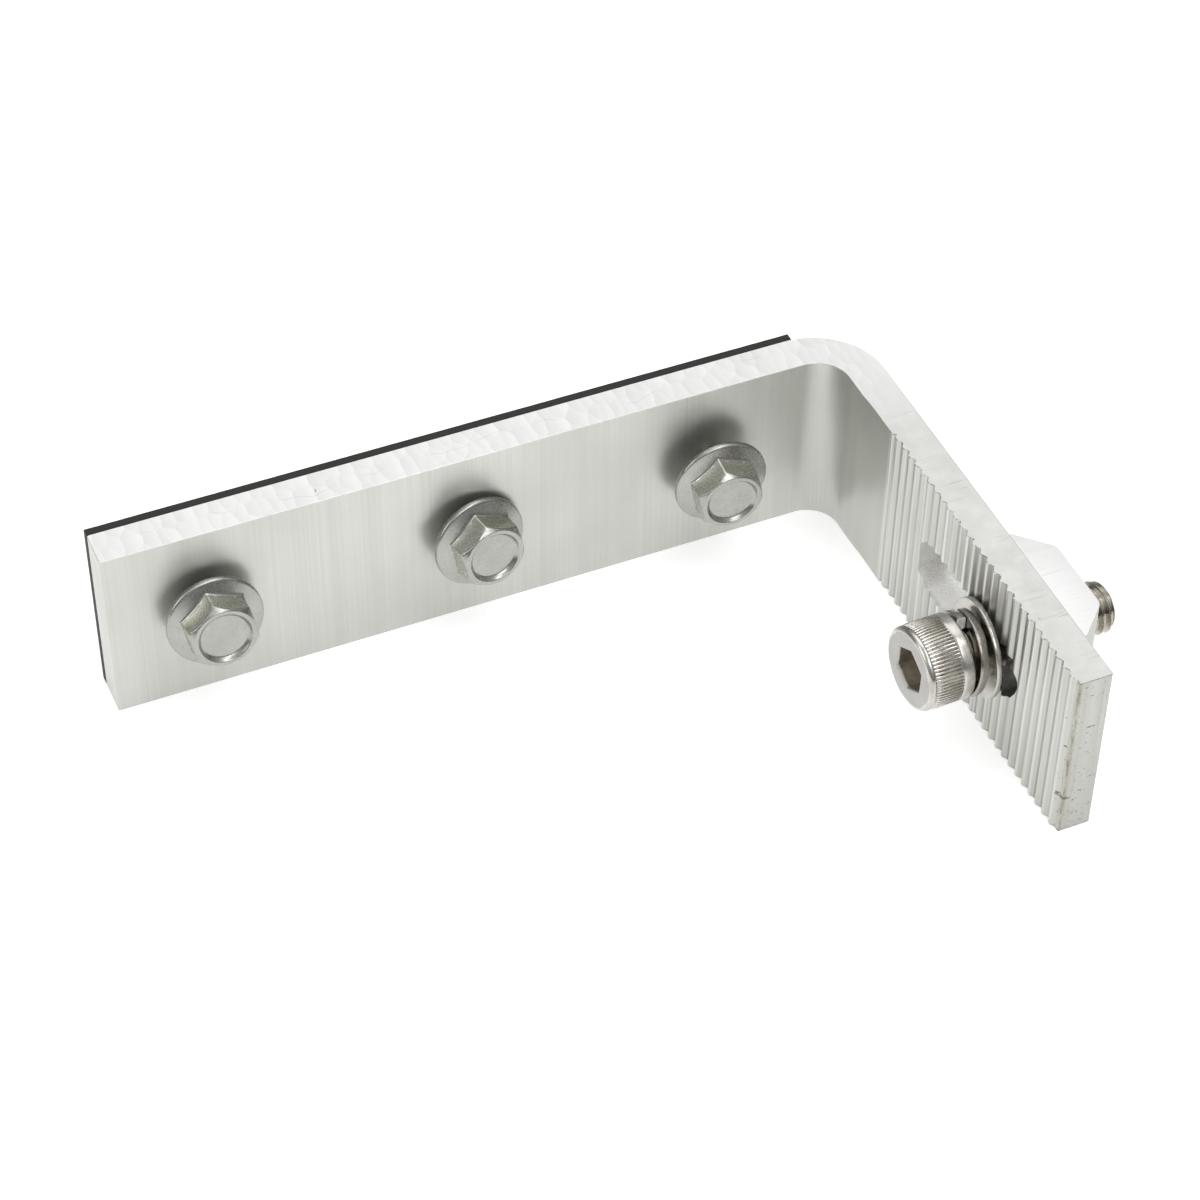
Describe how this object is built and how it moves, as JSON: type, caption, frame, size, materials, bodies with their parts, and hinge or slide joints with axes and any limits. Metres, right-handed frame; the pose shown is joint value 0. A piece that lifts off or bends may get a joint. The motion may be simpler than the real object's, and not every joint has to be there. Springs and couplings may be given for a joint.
{
  "type": "solar L clamp",
  "caption": "Aluminium L clamp that stands a solar rail off a roof: serrated slotted leg with a socket screw and channel nut, flat leg with a rubber pad and hexagon roof screws.",
  "frame": {"origin": "centre of the rubber pad's outer face, on the axis of the middle roof screw hole", "axes": "+X along the long leg towards the bend, +Y out of the pad's outer face into the roof, +Z across the 30 mm sawn width; stored lying on its sawn edge as in the picture"},
  "size_m": [0.1346, 0.097, 0.03],
  "materials": {
    "extruded_aluminium": "mill finish, die lines along the extrusion, sawn edges",
    "black_rubber": "matt sheet",
    "plated_steel": "satin plated, cold headed",
    "stainless_steel": "bright stainless, knurled head",
    "nut_aluminium": "bright sawn end, scratched"
  },
  "bodies": {
    "angle": {"bracket": "extruded_aluminium", "rubber_pad": "black_rubber", "roof_screw_left": "plated_steel", "roof_screw_middle": "plated_steel", "roof_screw_right": "plated_steel"},
    "washers": {"flat_washer": "stainless_steel", "spring_washer": "stainless_steel"},
    "screw": {"cap_screw": "stainless_steel"},
    "nut": {"channel_nut": "nut_aluminium"}
  },
  "joints": [
    {"name": "clamp_slide", "type": "slide", "parent": "angle", "child": "washers", "axis": [0, 1, 0], "range_m": [-0.005, 0.016]},
    {"name": "screw_turn", "type": "hinge", "parent": "washers", "child": "screw", "pos_m": [0.05102, -0.05759, 0.0003], "axis": [0.9987, 0.0449, -0.025], "range_deg": [-1260, 630]},
    {"name": "nut_travel", "type": "slide", "parent": "washers", "child": "nut", "axis": [0.9987, 0.0449, -0.025], "range_m": [-0.0022, 0.0044]}
  ],
  "couplings": [
    {"joint": "nut_travel", "follows": "screw_turn", "m_per_rad": -0.00019894}
  ]
}
